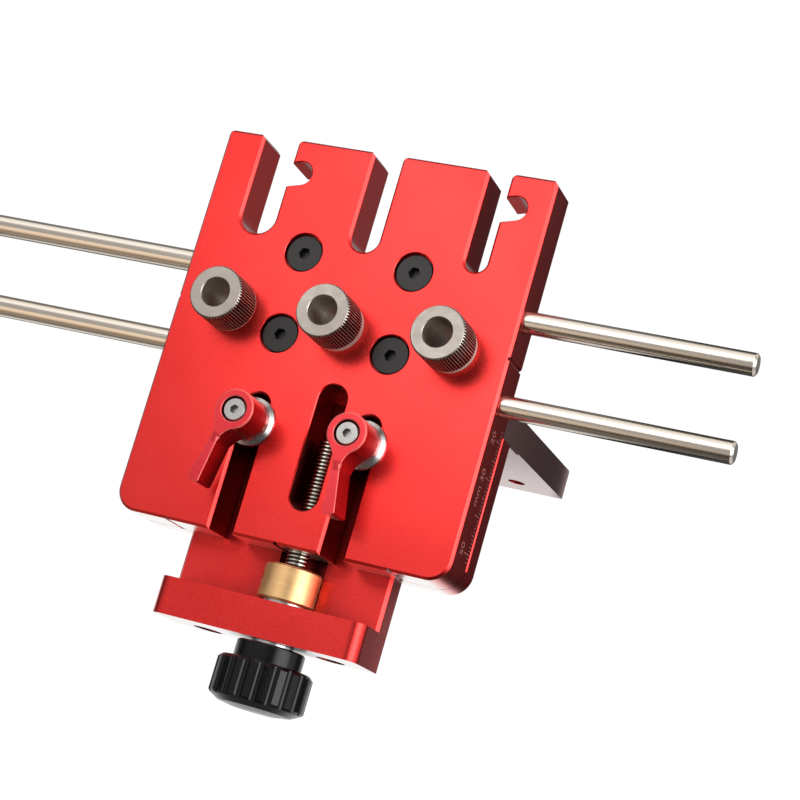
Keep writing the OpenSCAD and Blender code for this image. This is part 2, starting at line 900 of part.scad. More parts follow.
// a lever's plan: a blade that widens toward its tip, and a waist curved into the hub
module arm_plan() {
    tall = hub_z + 1;
    tip_x = arm_w / 2 - arm_corner_r;
    linear_extrude(tall)
        polygon([
            [-waist_x(-1), -arm_neck],
            [-arm_w / 2, -arm_len + arm_corner_r],
            [-tip_x, -arm_len],
            [tip_x, -arm_len],
            [arm_w / 2, -arm_len + arm_corner_r],
            [waist_x(1), -arm_neck]
        ]);
    for (s = [-1, 1])
        translate([s * tip_x, -arm_len + arm_corner_r, 0])
            cylinder(h = tall, r = arm_corner_r);
    difference() {
        linear_extrude(tall)
            polygon([
                [-waist_reach(-1) * (waist_x(-1) + waist_r(-1)), -arm_neck],
                [waist_reach(1) * (waist_x(1) + waist_r(1)), -arm_neck],
                [waist_reach(1) * (waist_x(1) + waist_r(1)), -waist_reach(1) * arm_neck],
                [0, 0],
                [-waist_reach(-1) * (waist_x(-1) + waist_r(-1)), -waist_reach(-1) * arm_neck]
            ]);
        for (s = [-1, 1])
            translate([s * (waist_x(s) + waist_r(s)), -arm_neck, -1])
                cylinder(h = tall + 2, r = waist_r(s));
    }
}

// chamfers along a lever's upper edges, from the waist to the tip
module arm_chamfers() {
    rise = hub_z - arm_ch;
    blade_end = arm_len - arm_corner_r;
    for (s = [-1, 1]) {
        translate([s * (waist_x(s) + waist_r(s)), -arm_neck, rise])
            cylinder(h = 2 * arm_ch, r1 = waist_r(s), r2 = waist_r(s) + 2 * arm_ch);
        translate([s * (arm_w / 2 + waist_x(s)) / 2, -(blade_end + arm_neck) / 2, rise - arm_drop])
            rotate([0, 0, s * (90 + atan((arm_w / 2 - waist_x(s)) / (blade_end - arm_neck)))])
                edge_wedge(arm_len - arm_neck + 2, arm_ch);
    }
}

module lever_handle() {
    color("crimson")
        difference() {
            union() {
                translate([0, 0, handle_z])
                    cylinder(h = hub_z - handle_z - 0.4, d = hub_d);
                translate([0, 0, hub_z - 0.4])
                    cylinder(h = 0.4, d1 = hub_d, d2 = hub_d - 0.8);
                difference() {
                    intersection() {
                        arm_profile();
                        arm_plan();
                    }
                    arm_chamfers();
                }
            }
            // recess for the spring and the cap screw
            translate([0, 0, web_z + web_t])
                cylinder(h = hub_top, d = cap_bore);
            translate([0, 0, hub_z - 0.2])
                cylinder(h = 1, d1 = cap_bore, d2 = cap_bore + 2);
            translate([0, 0, ratchet_z])
                cylinder(h = hub_top, d = 3.4);
            // seat on the ratchet
            translate([0, 0, ratchet_z])
                cylinder(h = web_z - ratchet_z, d = 8.3);
        }
}

module lever_insert() {
    color("lightgray")
        difference() {
            rotate_extrude()
                polygon([
                    [0, carriage_bottom + 0.3],
                    [stud_d / 2 - 0.5, carriage_bottom + 0.3],
                    [stud_d / 2, carriage_bottom + 0.8],
                    [stud_d / 2, flange_z],
                    [flange_d / 2 - 0.3, flange_z],
                    [flange_d / 2, flange_z + 0.3],
                    [flange_d / 2 - 0.2, flange_z + 0.9],
                    [flange_d / 2 - 1.1, flange_z + 1.7],
                    [hub_d / 2 - 0.1, flange_z + 2.5],
                    [hub_d / 2 - 0.1, ratchet_z],
                    [4, ratchet_z],
                    [4, ratchet_z + ratchet_h],
                    [0, ratchet_z + ratchet_h]
                ]);
            translate([0, 0, flange_z])
                cylinder(h = hub_top, d = 3.1);
        }
}

module lever_cap_screw() {
    color("gainsboro")
        difference() {
            rotate_extrude()
                polygon([
                    [0, flange_z + 0.5],
                    [1.5, flange_z + 0.5],
                    [1.5, cap_z],
                    [cap_head / 2, cap_z],
                    [cap_head / 2, cap_z + cap_h - 0.3],
                    [cap_head / 2 - 0.3, cap_z + cap_h],
                    [0, cap_z + cap_h]
                ]);
            translate([0, 0, cap_z + 0.6])
                socket(2.2, 2);
        }
}

// closed coils of the return spring between the web and the cap screw's head
module lever_spring() {
    low = web_z + web_t + 0.05;
    high = cap_z - 0.05;
    coils = 5;
    wire = (high - low) / coils;
    color("silver")
        rotate_extrude()
            difference() {
                translate([cap_bore / 2 - 0.3 - wire, low])
                    square([wire, high - low]);
                for (i = [1:coils - 1])
                    translate([cap_bore / 2 - 0.3, low + i * wire])
                        circle(r = wire * 0.28, $fn = 4);
            }
}

module lever_left_handle() {
    lever_place(-1, left_angle)
        lever_handle();
}

module lever_left_insert() {
    lever_place(-1, left_angle)
        lever_insert();
}

module lever_left_cap_screw() {
    lever_place(-1, left_angle)
        lever_cap_screw();
}

module lever_left_spring() {
    lever_place(-1, left_angle)
        lever_spring();
}

module lever_right_handle() {
    lever_place(1, right_angle)
        lever_handle();
}

module lever_right_insert() {
    lever_place(1, right_angle)
        lever_insert();
}

module lever_right_cap_screw() {
    lever_place(1, right_angle)
        lever_cap_screw();
}

module lever_right_spring() {
    lever_place(1, right_angle)
        lever_spring();
}

in_frame() guide_plate();
in_frame() rod_lock_upper_left();
in_frame() rod_lock_upper_right();
in_frame() rod_lock_lower_left();
in_frame() rod_lock_lower_right();
in_frame() bushing_left();
in_frame() bushing_centre();
in_frame() bushing_right();
in_frame() rod_upper();
in_frame() rod_lower();
in_frame() carriage_plate();
in_frame() fence();
in_frame() fence_screws();
in_frame() end_bar();
in_frame() bar_screw_left();
in_frame() bar_screw_right();
in_frame() lead_screw();
in_frame() stop_collar();
in_frame() collar_set_screw();
in_frame() collar_washer();
in_frame() knob_washer();
in_frame() knob();
in_frame() lever_left_handle();
in_frame() lever_left_insert();
in_frame() lever_left_cap_screw();
in_frame() lever_left_spring();
in_frame() lever_right_handle();
in_frame() lever_right_insert();
in_frame() lever_right_cap_screw();
in_frame() lever_right_spring();
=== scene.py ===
import math

import bpy
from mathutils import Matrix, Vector


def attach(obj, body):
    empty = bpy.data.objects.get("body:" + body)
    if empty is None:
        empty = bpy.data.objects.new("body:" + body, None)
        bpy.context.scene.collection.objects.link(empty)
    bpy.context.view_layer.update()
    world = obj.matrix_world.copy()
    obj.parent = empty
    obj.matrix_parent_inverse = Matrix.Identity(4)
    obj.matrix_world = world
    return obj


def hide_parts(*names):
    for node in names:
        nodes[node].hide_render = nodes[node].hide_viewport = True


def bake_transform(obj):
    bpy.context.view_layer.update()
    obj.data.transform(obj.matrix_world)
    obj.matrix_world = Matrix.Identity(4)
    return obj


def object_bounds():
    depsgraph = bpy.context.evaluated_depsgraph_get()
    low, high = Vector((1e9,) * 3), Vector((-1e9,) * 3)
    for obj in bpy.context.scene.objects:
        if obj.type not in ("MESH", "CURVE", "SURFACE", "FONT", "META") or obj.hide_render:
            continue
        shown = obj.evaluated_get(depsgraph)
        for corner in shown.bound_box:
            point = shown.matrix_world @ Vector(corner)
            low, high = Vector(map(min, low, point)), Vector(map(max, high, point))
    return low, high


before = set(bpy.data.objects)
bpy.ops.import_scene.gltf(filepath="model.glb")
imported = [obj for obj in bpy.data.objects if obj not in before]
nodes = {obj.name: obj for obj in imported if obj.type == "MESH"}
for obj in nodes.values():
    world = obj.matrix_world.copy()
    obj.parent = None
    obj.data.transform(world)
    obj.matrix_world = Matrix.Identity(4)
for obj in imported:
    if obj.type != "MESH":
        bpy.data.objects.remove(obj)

cad_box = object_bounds()
MM = 0.001

# ---- sizes of the real pieces, in millimetres ----

# guide plate: thickness, width, its -Y face, the bores' pitch, half the width of a V mark
PLATE = 12.0
PLATE_W = 96.0
PLATE_LOW = -60.0
PITCH = 32.0
MARK = 0.5
# drill bushing: radii of bore, shank and head, the head's height, the smooth band at its foot
BUSH_BORE = 4.0
BUSH_SHANK = 7.0
BUSH_HEAD = 7.4
BUSH_HEIGHT = 10.8
FOOT = 0.45
FOOT_IN = 0.1
HEAD_CHAMFER = 0.45
MOUTH = 0.2
# the bushing's knurl: straight teeth, each made of a few columns of faces
TEETH = 60
COLUMNS = 5
TOP_COLUMNS = 3
TOOTH_DEPTH = 0.35
# lead screw: place in X and Z, the two ends in -Y, radius, pitch and depth of the thread
SCREW = (4.2, -8.0)
SCREW_TIP, SCREW_END = 29.4, 95.0
SCREW_R = 3.0
THREAD = 1.0
THREAD_DEPTH = 0.6
# return spring: the levers' place in Y, the spring's two ends in Z, outer radius, wire
LEVER_Y = -30.0
SPRING_LOW, SPRING_HIGH = 6.35, 10.05
SPRING_R = 3.2
SPRING_RINGS = 5
WIRE = 0.7
# engraved scale: first and last tick in -Y, the ticks' width and foot, the numerals' size
TICK_FIRST, TICK_LAST = 17, 52
TICK_WIDTH = 0.22
TICK_FOOT = 0.7
NUMERAL = 3.6
NUMERAL_FOOT = -6.0
ENGRAVED = 0.02

# ---- modelling ----


def clear_selection():
    if bpy.context.mode != "OBJECT":
        bpy.ops.object.mode_set(mode="OBJECT")
    bpy.ops.object.select_all(action="DESELECT")


def active():
    return bpy.context.view_layer.objects.active


def only(piece):
    clear_selection()
    piece.select_set(True)
    bpy.context.view_layer.objects.active = piece


def edit(piece, kind="VERT"):
    only(piece)
    bpy.ops.object.mode_set(mode="EDIT")
    bpy.ops.mesh.select_mode(type=kind)


def done():
    bpy.ops.object.mode_set(mode="OBJECT")


def pick(piece, test):
    """Selects the vertices whose place, in millimetres, passes the test."""
    done()
    for part in (*piece.data.polygons, *piece.data.edges):
        part.select = False
    for v in piece.data.vertices:
        v.select = test(v.co / MM)
    bpy.ops.object.mode_set(mode="EDIT")
    bpy.ops.mesh.select_mode(type="VERT")


def dressed(name, coat):
    """Gives the active piece its name and its material."""
    piece = active()
    piece.name = piece.data.name = name
    piece.data.materials.clear()
    piece.data.materials.append(coat)
    return piece


def named(name, coat, body, slot, *replaced):
    """Dresses the active piece, hangs it on the body it rides on and hides the CAD nodes it stands
    for.
    """
    piece = dressed(name, coat)
    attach(piece, body)
    if replaced:
        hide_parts(*replaced)
    return piece


def applied(piece):
    """Leaves the object at the origin, unturned and unscaled."""
    only(piece)
    bpy.ops.object.transform_apply(location=True, rotation=True, scale=True)
    return piece


def cleaned(piece, angle=35, gap=0.001):
    """Merges doubles, turns the faces outward and shades the piece by angle."""
    edit(piece)
    bpy.ops.mesh.select_all(action="SELECT")
    bpy.ops.mesh.remove_doubles(threshold=gap * MM)
    bpy.ops.mesh.normals_make_consistent(inside=False)
    done()
    bpy.ops.object.shade_smooth_by_angle(angle=math.radians(angle))


def joined(first, *others):
    clear_selection()
    for part in (first, *others):
        part.select_set(True)
    bpy.context.view_layer.objects.active = first
    bpy.ops.object.join()
    return active()


def turned(rings, steps, closed=True):
    """Turns a piece on the Z axis: a circle goes from ring to ring, each (radius, height)."""
    clear_selection()
    radius, height = rings[0]
    bpy.ops.mesh.primitive_circle_add(
        vertices=steps, radius=radius * MM, location=(0, 0, height * MM))
    piece = applied(active())
    edit(piece, "EDGE")
    bpy.ops.mesh.select_all(action="SELECT")
    if not closed:
        bpy.ops.mesh.edge_face_add()
        bpy.ops.mesh.select_all(action="SELECT")
        bpy.ops.mesh.region_to_loop()
    run = rings + rings[:1] if closed else rings
    for (r_from, z_from), (r_to, z_to) in zip(run, run[1:]):
        bpy.ops.mesh.extrude_edges_move(
            TRANSFORM_OT_translate={"value": (0, 0, (z_to - z_from) * MM)})
        share = r_to / r_from
        bpy.ops.transform.resize(value=(share, share, 1), center_override=(0, 0, z_to * MM))
    if not closed:
        bpy.ops.mesh.edge_face_add()
    done()
    return piece


# ---- finishes ----


def tint(code):
    """An sRGB hex colour, made linear."""
    parts = [int(code[i:i + 2], 16) / 255 for i in (1, 3, 5)]
    lin = [c / 12.92 if c <= 0.04045 else ((c + 0.055) / 1.055) ** 2.4 for c in parts]
    return (*lin, 1.0)


def add(tree, kind, links=None, **settings):
    """Adds a node with its settings; links gives inputs a value or another node's output."""
    n = tree.nodes.new(kind)
    for key, value in settings.items():
        setattr(n, key, value)
    for key, value in (links or {}).items():
        if isinstance(value, bpy.types.NodeSocket):
            tree.links.new(value, n.inputs[key])
        else:
            n.inputs[key].default_value = value
    return n


def maths(tree, operation, first, second=0.0):
    return add(tree, "ShaderNodeMath", {0: first, 1: second}, operation=operation).outputs[0]


def remap(tree, value, low, high, to_low=0.0, to_high=1.0):
    return add(tree, "ShaderNodeMapRange", {
        "Value": value, "From Min": low, "From Max": high,
        "To Min": to_low, "To Max": to_high}).outputs[0]


def mixed(tree, share, first, second):
    """Goes from one number to another."""
    return add(tree, "ShaderNodeMix", {0: share, 2: first, 3: second}).outputs[0]


def dyed(tree, share, first, second):
    """Goes from one colour to another."""
    return add(tree, "ShaderNodeMix", {0: share, 6: first, 7: second}, data_type="RGBA").outputs[2]


def noise(tree, at, scale, detail, roughness=0.5):
    return add(tree, "ShaderNodeTexNoise", {
        "Vector": at, "Scale": scale, "Detail": detail, "Roughness": roughness}).outputs[0]


def bump(tree, height, strength, distance):
    return add(tree, "ShaderNodeBump", {
        "Height": height, "Strength": strength, "Distance": distance}).outputs[0]


def split(tree, vector):
    return add(tree, "ShaderNodeSeparateXYZ", {0: vector}).outputs


def product(tree, *parts):
    out = parts[0]
    for part in parts[1:]:
        out = maths(tree, "MULTIPLY", out, part)
    return out


def between(tree, value, low, high, soft=0.05):
    """1 where the value lies between low and high, 0 outside."""
    return product(tree, remap(tree, value, low, low + soft),
                   remap(tree, value, high, high - soft))


def finish(name):
    m = bpy.data.materials.new(name)
    m.use_nodes = True
    m.node_tree.nodes.clear()
    return m, m.node_tree


def shaded(tree, surface):
    add(tree, "ShaderNodeOutputMaterial", {"Surface": surface})


def place_of(tree, scale=(1, 1, 1)):
    """Object coordinates in millimetres, scaled for stretched patterns."""
    at = add(tree, "ShaderNodeTexCoord").outputs["Object"]
    return add(tree, "ShaderNodeMapping", {
        "Vector": at, "Scale": [s / MM for s in scale]}).outputs["Vector"]


# dark of the V marks, and of the painted shade on pocket walls and on faces that other pieces stand
# close to
MARK_AND_SHADE_DARK = "#1A0706"
WALL_SHADE_PAINT = 0.56


def unmarked_unshaded_share(tree, at):
    """How much of the dye shows: less on the walls of the window and the slots, where shade is
    painted, and none in V marks.
    """
    x, y, z = split(tree, at)
    wide = maths(tree, "ABSOLUTE", x)
    tall = maths(tree, "ABSOLUTE", y)
    row = maths(tree, "PINGPONG", x, PITCH)
    column = maths(tree, "MAXIMUM", between(tree, row, -1, MARK),
                   between(tree, row, PITCH - MARK, PITCH + 1))
    low_mark = product(tree, column, between(tree, y, PLATE_LOW - 1, PLATE_LOW + MARK))
    side_mark = product(tree, between(tree, tall, -1, MARK), between(tree, z, -1.2, 1),
                        between(tree, wide, PLATE_W / 2 - MARK, PLATE_W / 2 + 1))
    marks = maths(tree, "MAXIMUM", low_mark, side_mark)
    # painted shade: the walls of the window and the slots are darkened by this share
    walls = product(tree, between(tree, z, -PLATE - 8, -0.5), between(tree, wide, -1, 30),
                    between(tree, y, PLATE_LOW + 0.2, 20), WALL_SHADE_PAINT)
    return maths(tree, "SUBTRACT", 1.0, maths(tree, "MAXIMUM", marks, walls))


def edge_highlight_share(tree):
    """Where the painted highlight goes: 1 on faces that slope, such as chamfers, and 0 on flat tops
    and upright walls.
    """
    way = add(tree, "ShaderNodeTexCoord").outputs["Normal"]
    return between(tree, maths(tree, "ABSOLUTE", split(tree, way)[2]), 0.25, 0.85)


def anodised_aluminium(name, light, deep, rough, grain=0.4, painted_sheen_from=0.68,
                       marks_and_wall_shade=False, painted_contact_shade=False, painted_edge_highlight=False):
    """Bead-blasted aluminium, dyed and sealed: satin, with a fine grain, and with a painted pale
    sheen at a glance.
    """
    m, t = finish(name)
    at = place_of(t)
    blast = noise(t, at, 1 / grain, 2.0, 0.6)
    cloud = noise(t, at, 0.03, 3.0)
    both = maths(t, "ADD", maths(t, "MULTIPLY", blast, 0.9), cloud)
    dye = dyed(t, remap(t, both, 0.65, 1.25), tint(deep), tint(light))
    # painted sheen: faces seen at a glance are paled toward white
    glance = add(t, "ShaderNodeLayerWeight", {"Blend": 0.5}).outputs["Facing"]
    colour = dyed(t, remap(t, glance, painted_sheen_from, 0.88), dye, tint("#FFFAF8"))
    satin = remap(t, blast, 0.3, 0.7, rough - 0.04, rough + 0.05)
    # dark V marks, and painted shade on the walls of the window and the slots
    if marks_and_wall_shade:
        colour = dyed(t, unmarked_unshaded_share(t, at), tint(MARK_AND_SHADE_DARK), colour)
    if painted_contact_shade:
        # painted shade: the faces that other pieces stand close to get darker by ambient occlusion,
        # wherever the piece has slid to
        sky = add(t, "ShaderNodeAmbientOcclusion", {"Distance": 0.012}).outputs["AO"]
        colour = dyed(t, remap(t, sky, 0.3, 0.7, 0.25), tint(MARK_AND_SHADE_DARK), colour)
    if painted_edge_highlight:
        # painted highlight: the chamfers are paled and made rougher
        edge = edge_highlight_share(t)
        colour = dyed(t, edge, colour, tint("#F98680"))
        satin = mixed(t, edge, satin, 0.8)
    s = add(t, "ShaderNodeBsdfPrincipled", {
        "Base Color": colour, "Metallic": 1.0, "Roughness": satin, "Coat Weight": 0.3,
        "Coat Roughness": 0.3, "Normal": bump(t, blast, 0.3, 0.00006)})
    shaded(t, s.outputs[0])
    return m


def turned_metal(name, light, deep, rough, line=0.3, axis=2, depth=0.3):
    """Lathe-turned metal: fine rings round its axis, a little darker in the tool marks."""
    m, t = finish(name)
    rings = place_of(t, [1 if i == axis else 0.02 for i in range(3)])
    marks = noise(t, rings, 1 / line, 2.0)
    cloud = noise(t, place_of(t), 0.3, 3.0)
    s = add(t, "ShaderNodeBsdfPrincipled", {
        "Base Color": dyed(t, remap(t, marks, 0.35, 0.65), tint(deep), tint(light)),
        "Metallic": 1.0, "Roughness": remap(t, cloud, 0.3, 0.7, rough * 0.85, rough * 1.2),
        "Normal": bump(t, marks, depth, 0.00002)})
    shaded(t, s.outputs[0])
    return m


def fine_grained(name, light, deep, rough, grain=0.3, metallic=0.0, depth=0.1, gloss=0.5):
    """A surface with an even fine grain, such as moulded plastic or black oxide."""
    m, t = finish(name)
    grit = noise(t, place_of(t), 1 / grain, 3.0)
    s = add(t, "ShaderNodeBsdfPrincipled", {
        "Base Color": dyed(t, grit, tint(deep), tint(light)), "Metallic": metallic,
        "Roughness": remap(t, grit, 0.3, 0.7, rough - 0.05, rough + 0.06),
        "Specular IOR Level": gloss, "Normal": bump(t, grit, depth, 0.00005)})
    shaded(t, s.outputs[0])
    return m


# each with its light and deep colour and its roughness
# plate coat: dark V marks and painted shade on the pocket walls
red_anodised = anodised_aluminium(
    "anodised_aluminium_red", "#F63C39", "#E62C29", 0.3, marks_and_wall_shade=True)
# carriage and end bar coat: painted shade by ambient occlusion
carriage_red = anodised_aluminium(
    "anodised_aluminium_carriage", "#F63C39", "#E62C29", 0.3, painted_contact_shade=True)
# fence coat: the painted pale sheen starts at a wider glance
fence_red = anodised_aluminium(
    "anodised_aluminium_fence", "#EC4040", "#DC3434", 0.3, grain=0.22, painted_sheen_from=0.5)
# lever coat: painted highlight on the chamfers
lever_red = anodised_aluminium(
    "anodised_aluminium_lever_red", "#E43C44", "#D02C34", 0.36, grain=0.3, painted_edge_highlight=True)
bushing_steel = turned_metal("hardened_steel_ground", "#ACA39B", "#9A9189", 0.38)
knurl_steel = turned_metal("hardened_steel_knurled", "#D2C8BC", "#BAB0A4", 0.45, line=0.4)
# painted highlight: a paler, part-diffuse steel for the smooth band at the bushings' foot and their
# shanks
foot_painted_highlight = fine_grained(
    "hardened_steel_foot_highlight", "#E4DDD2", "#D4CCC0", 0.42, metallic=0.45, depth=0.05)
# painted shade: the knurl's grooves get a dark steel
groove_painted_shade = turned_metal("knurl_groove_painted_shade", "#3A332E", "#241F1C", 0.5, line=0.4)
rod_steel = fine_grained(
    "polished_steel_rod", "#D6CCC0", "#C9BEB1", 0.17, grain=0.5, metallic=1.0, depth=0.02)
cap_steel = turned_metal("stainless_cap_screw", "#B4B2AF", "#A5A3A0", 0.34)
zinc_steel = turned_metal("zinc_plated_steel", "#D9D9D6", "#C6C6C3", 0.28)
# painted shade: a dark steel for the lead screw's thread roots and core
thread_root_painted_shade = turned_metal("rolled_steel_root_shade", "#6A5A48", "#4A3F32", 0.4, axis=1)
screw_thread = turned_metal("rolled_steel_thread", "#EDE6D8", "#D8D0C2", 0.22, axis=1)
brass = turned_metal("turned_brass", "#F8CC92", "#F0C086", 0.44, line=0.25, axis=1, depth=0.1)
black_oxide = fine_grained(
    "black_oxide_steel", "#3E3B3B", "#292727", 0.42, grain=0.25, metallic=0.6)
black_plastic = fine_grained("moulded_black_nylon", "#0A0A0A", "#060606", 0.24, gloss=0.3)
marking = fine_grained("laser_mark_grey", "#9C5E58", "#864E49", 0.6)

for coat, coated in (
    (red_anodised, ("guide_plate",)),
    (carriage_red, ("carriage_plate", "end_bar")),
    (fence_red, ("fence",)),
    (lever_red, ("lever_left_handle", "lever_right_handle")),
    (bushing_steel, ("bushing_left", "bushing_centre", "bushing_right")),
    (rod_steel, ("rod_upper", "rod_lower")),
    (screw_thread, ("lead_screw",)),
    (brass, ("stop_collar",)),
    (black_plastic, ("knob",)),
    (cap_steel, ("lever_left_cap_screw", "lever_right_cap_screw")),
    (zinc_steel, ("collar_washer", "knob_washer", "lever_left_insert", "lever_right_insert",
                  "lever_left_spring", "lever_right_spring")),
    (black_oxide, ("rod_lock_upper_left", "rod_lock_upper_right", "rod_lock_lower_left",
                   "rod_lock_lower_right", "fence_screws", "bar_screw_left",
                   "bar_screw_right", "collar_set_screw")),
):
    for node in coated:
        nodes[node].data.materials.clear()
        nodes[node].data.materials.append(coat)

# ---- knurled drill bushings ----


def drill_bushing(name, x, proud, body, node):
    top = BUSH_HEIGHT
    root = BUSH_HEAD - TOOTH_DEPTH
    foot = BUSH_HEAD - FOOT_IN
    piece = turned([
        (BUSH_BORE + MOUTH, top), (BUSH_HEAD - HEAD_CHAMFER, top),
        (root, top - HEAD_CHAMFER + TOOTH_DEPTH), (BUSH_HEAD, top - HEAD_CHAMFER),
        (BUSH_HEAD, FOOT + TOOTH_DEPTH), (root, FOOT), (foot, FOOT), (foot, MOUTH),
        (foot - MOUTH, 0), (BUSH_SHANK, 0), (BUSH_SHANK, -PLATE + MOUTH),
        (BUSH_SHANK - MOUTH, -PLATE), (BUSH_BORE + MOUTH, -PLATE),
        (BUSH_BORE, -PLATE + MOUTH), (BUSH_BORE, top - MOUTH),
    ], TEETH * COLUMNS)
    cleaned(piece)

    # of each tooth's columns the last ones go in, which leaves straight teeth with flat tops
    def in_groove(p):
        column = math.degrees(math.atan2(p.y, p.x)) % 360 / (360 / TEETH / COLUMNS)
        return abs(p.xy.length - BUSH_HEAD) < 0.05 and round(column) % COLUMNS >= TOP_COLUMNS
    edit(piece)
    pick(piece, in_groove)
    share = root / BUSH_HEAD
    bpy.ops.transform.resize(value=(share, share, 1), center_override=(0, 0, 0))
    done()
    bpy.ops.object.shade_smooth_by_angle(angle=math.radians(28))
    piece.location = Vector((x, 0, proud)) * MM
    applied(piece)
    named(name, bushing_steel, body, "bushing_steel", node)
    # the teeth and the bore take the knurled steel and the ground faces keep theirs; the knurl's
    # grooves take a dark steel as painted shade, and the foot band and the shank below it a pale,
    # part-diffuse steel as painted highlight
    teeth, grooves, band = 1, 2, 3
    for extra in (knurl_steel, groove_painted_shade, foot_painted_highlight):
        piece.data.materials.append(extra)
    for f in piece.data.polygons:
        c = f.center / MM - Vector((x, 0, proud))
        outside = c.xy.length > BUSH_SHANK - 0.02 and c.z < top - HEAD_CHAMFER
        inside = c.xy.length < BUSH_BORE + 0.05 and abs(f.normal.z) < 0.3
        if outside and c.z < FOOT:
            f.material_index = band
        elif outside and c.xy.length < BUSH_HEAD - TOOTH_DEPTH / 3:
            f.material_index = grooves
        elif outside or inside:
            f.material_index = teeth


drill_bushing("knurled_bushing_left", -PITCH, 0.0, "slip_bushing_left", "bushing_left")
drill_bushing("knurled_bushing_centre", 0.0, 2.1, "slip_bushing_centre", "bushing_centre")
drill_bushing("knurled_bushing_right", PITCH, 1.7, "slip_bushing_right", "bushing_right")

# ---- threaded lead screw ----


def threaded_rod(name, body, node):
    """A core with one turn of thread profile swept up it by a Screw modifier."""
    length = SCREW_END - SCREW_TIP
    root = SCREW_R - THREAD_DEPTH
    crest = SCREW_R - 0.03
    clear_selection()
    bpy.ops.mesh.primitive_plane_add(size=MM)
    thread = active()
    edit(thread, "FACE")
    bpy.ops.mesh.select_all(action="SELECT")
    bpy.ops.mesh.delete(type="ONLY_FACE")
    done()
    # the square's corners, taken round, become the profile, and its open side faces the core
    corners = (0, 1, 3, 2)
    for i, p in zip(corners, ((root, 0), (crest, 0.24), (crest, 0.58), (root, 0.82))):
        start = thread.data.vertices[i].co.copy()
        edit(thread)
        pick(thread, lambda c, at=start: (c - at / MM).length < 1e-6)
        bpy.ops.transform.translate(value=Vector((p[0], 0, p[1])) * MM - start)
        done()
    edit(thread, "EDGE")
    done()
    for e in thread.data.edges:
        e.select = set(e.vertices) == {corners[0], corners[-1]}
    for v in thread.data.vertices:
        v.select = False
    bpy.ops.object.mode_set(mode="EDIT")
    bpy.ops.mesh.select_mode(type="EDGE")
    bpy.ops.mesh.delete(type="EDGE")
    done()
    only(thread)
    sweep = thread.modifiers.new("screw", "SCREW")
    for key, value in {
        "axis": "Z", "angle": math.tau, "screw_offset": THREAD * MM,
        "iterations": int(length) - 1, "steps": 24, "render_steps": 24,
        "use_merge_vertices": True, "merge_threshold": 0.001 * MM,
    }.items():
        setattr(sweep, key, value)
    bpy.ops.object.modifier_apply(modifier=sweep.name)
    core = turned([(SCREW_R - 1.1, 0), (SCREW_R - 0.5, 0.6), (SCREW_R - 0.5, length)],
                  48, closed=False)
    piece = joined(core, thread)
    only(piece)
    bpy.ops.object.shade_smooth_by_angle(angle=math.radians(40))
    piece.rotation_euler = [math.radians(90), 0, 0]
    piece.location = Vector((SCREW[0], -SCREW_TIP, SCREW[1])) * MM
    applied(piece)
    named(name, screw_thread, body, "screw_steel", node)
    # painted shade: faces inside the thread's roots take the dark steel
    piece.data.materials.append(thread_root_painted_shade)
    for f in piece.data.polygons:
        off = Vector((f.center.x, f.center.z)) / MM - Vector(SCREW)
        f.material_index = int(off.length < SCREW_R - 0.2)


threaded_rod("threaded_lead_screw", "drive", "lead_screw")

# ---- return springs under the levers' cap screws ----


def return_spring(side, x):
    """Rings of wire, stacked evenly between the spring's two ends."""
    step = (SPRING_HIGH - SPRING_LOW - WIRE) / (SPRING_RINGS - 1)
    coil = []
    clear_selection()
    for i in range(SPRING_RINGS):
        bpy.ops.mesh.primitive_torus_add(
            major_segments=48, minor_segments=12,
            major_radius=(SPRING_R - WIRE / 2) * MM, minor_radius=WIRE / 2 * MM,
            location=Vector((x, LEVER_Y, SPRING_LOW + WIRE / 2 + i * step)) * MM)
        coil.append(active())
    cleaned(applied(joined(*coil)), angle=60)
    node = "lever_%s_spring" % side
    piece = dressed("return_spring_" + side, zinc_steel)
    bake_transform(piece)
    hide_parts(node)


return_spring("left", -16)
return_spring("right", 16)

# ---- scale engraved on the right wall ----


def right_wall_scale(name):
    """Millimetre ticks, counted from the bushing row toward -Y, with numerals and the unit."""
    wall = PLATE_W / 2
    parts = []
    for mm in range(TICK_FIRST, TICK_LAST + 1):
        long = 4.2 if mm % 10 == 0 else 2.4 if mm % 5 == 0 else 1.4
        clear_selection()
        bpy.ops.mesh.primitive_cube_add(
            size=MM, location=Vector((wall, -mm, long / 2 - PLATE + TICK_FOOT)) * MM)
        active().scale = (2 * ENGRAVED, TICK_WIDTH, long)
        parts.append(active())
    for word, start in (("20", -21.8), ("30", -31.8), ("mm", -38.3), ("50", -51.3)):
        clear_selection()
        bpy.ops.object.text_add()
        text = active().data
        text.body = word
        text.size = NUMERAL * MM
        text.extrude = ENGRAVED * MM
        text.resolution_u = 3
        bpy.ops.object.convert(target="MESH")
        active().rotation_euler = [math.radians(90), 0, math.radians(90)]
        active().location = Vector((wall, start, NUMERAL_FOOT)) * MM
        parts.append(active())
    cleaned(applied(joined(*parts)), gap=0.0001)
    named(name, marking, "guide", None)


right_wall_scale("right_wall_scale")

# ---- camera and stage, in metres ----

floor_z = cad_box[0][2]

X, Y = 0, 1
# where the metal sees the floor glow, with painted light and painted shade seen only in
# reflections: each edge is an axis and where it goes from 0 to 1
FRONT = ((Y, -0.05, -0.062), (Y, -0.19, -0.14), (X, -0.24, -0.18), (X, 0.07, 0.05))
UNDER_PLATE = ((Y, -0.034, -0.028), (Y, 0.002, -0.002), (X, -0.01, 0.0), (X, 0.05, 0.044))
RIGHT = (X, 0.042, 0.05)
RIGHT_RISE = (X, 0.066, 0.08)
RIGHT_OPEN = (X, 0.125, 0.14)
# brightness of the floor in a reflection
DIM, FRONT_LIT = 0.25, 1.05
RIGHT_DIM, RIGHT_LIT, OPEN_LIT = 0.02, 0.09, 0.9
UNDER_LIT = 0.7
# brightness of the floor otherwise, and how much of it is its own light
PAPER = 1.06
OWN_LIGHT = 0.95


